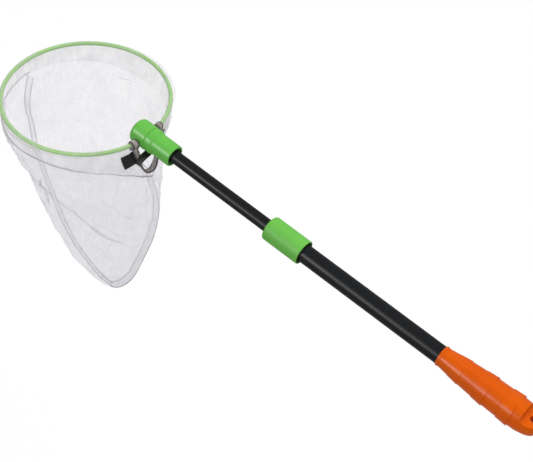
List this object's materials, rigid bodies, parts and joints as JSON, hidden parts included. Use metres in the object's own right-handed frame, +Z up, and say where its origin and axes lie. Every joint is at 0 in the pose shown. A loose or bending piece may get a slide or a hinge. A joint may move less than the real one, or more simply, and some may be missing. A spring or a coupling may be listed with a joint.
{
  "type": "telescopic hand net",
  "caption": "Hand net with a deep fine-mesh bag on a round hoop, a moulded head, a twist-lock telescopic pole and a stepped grip with a hanging hole.",
  "frame": {"origin": "centre of the hanging hole in the grip, on the pole's axis", "axes": "+X along the pole toward the hoop, +Z up out of the hoop's mouth, +Y to the side; the bag hangs toward -Z"},
  "size_m": [0.7824, 0.215, 0.3637],
  "materials": {
    "grip_plastic": "gloss",
    "green_plastic": "gloss",
    "tube_black": "satin black anodised",
    "lock_plastic": "matt",
    "white_nylon": "matt",
    "steel": "bright",
    "hoop_green": "gloss",
    "mesh": "fine white knitted mesh",
    "grey_tape": "woven tape",
    "black_tape": "woven tape"
  },
  "bodies": {
    "handle": {"grip": "grip_plastic", "outer_tube": "tube_black", "lock_ferrule": "lock_plastic", "ferrule_rivets": "steel", "retaining_clip": "steel"},
    "collar": {"lock_collar": "green_plastic"},
    "net": {"inner_tube": "tube_black", "guide_sleeve": "white_nylon", "guide_pin": "steel", "head_socket": "green_plastic", "head_bush": "lock_plastic", "head_cap": "green_plastic", "head_screw": "steel", "hoop_rod": "hoop_green", "casing_band": "mesh", "bag_front_panel": "mesh", "bag_back_panel": "mesh", "side_seam": "mesh", "front_cuff": "grey_tape", "back_cuff": "grey_tape", "tape_loop": "grey_tape", "strap_tab": "black_tape", "label_tag": "black_tape"}
  },
  "joints": [
    {"name": "telescope", "type": "slide", "parent": "handle", "child": "net", "axis": [1, 0, 0], "range_m": [-0.147, 0]},
    {"name": "lock_twist", "type": "hinge", "parent": "handle", "child": "collar", "pos_m": [0.3405, 0, 0], "axis": [1, 0, 0], "range_deg": [0, 60]}
  ]
}
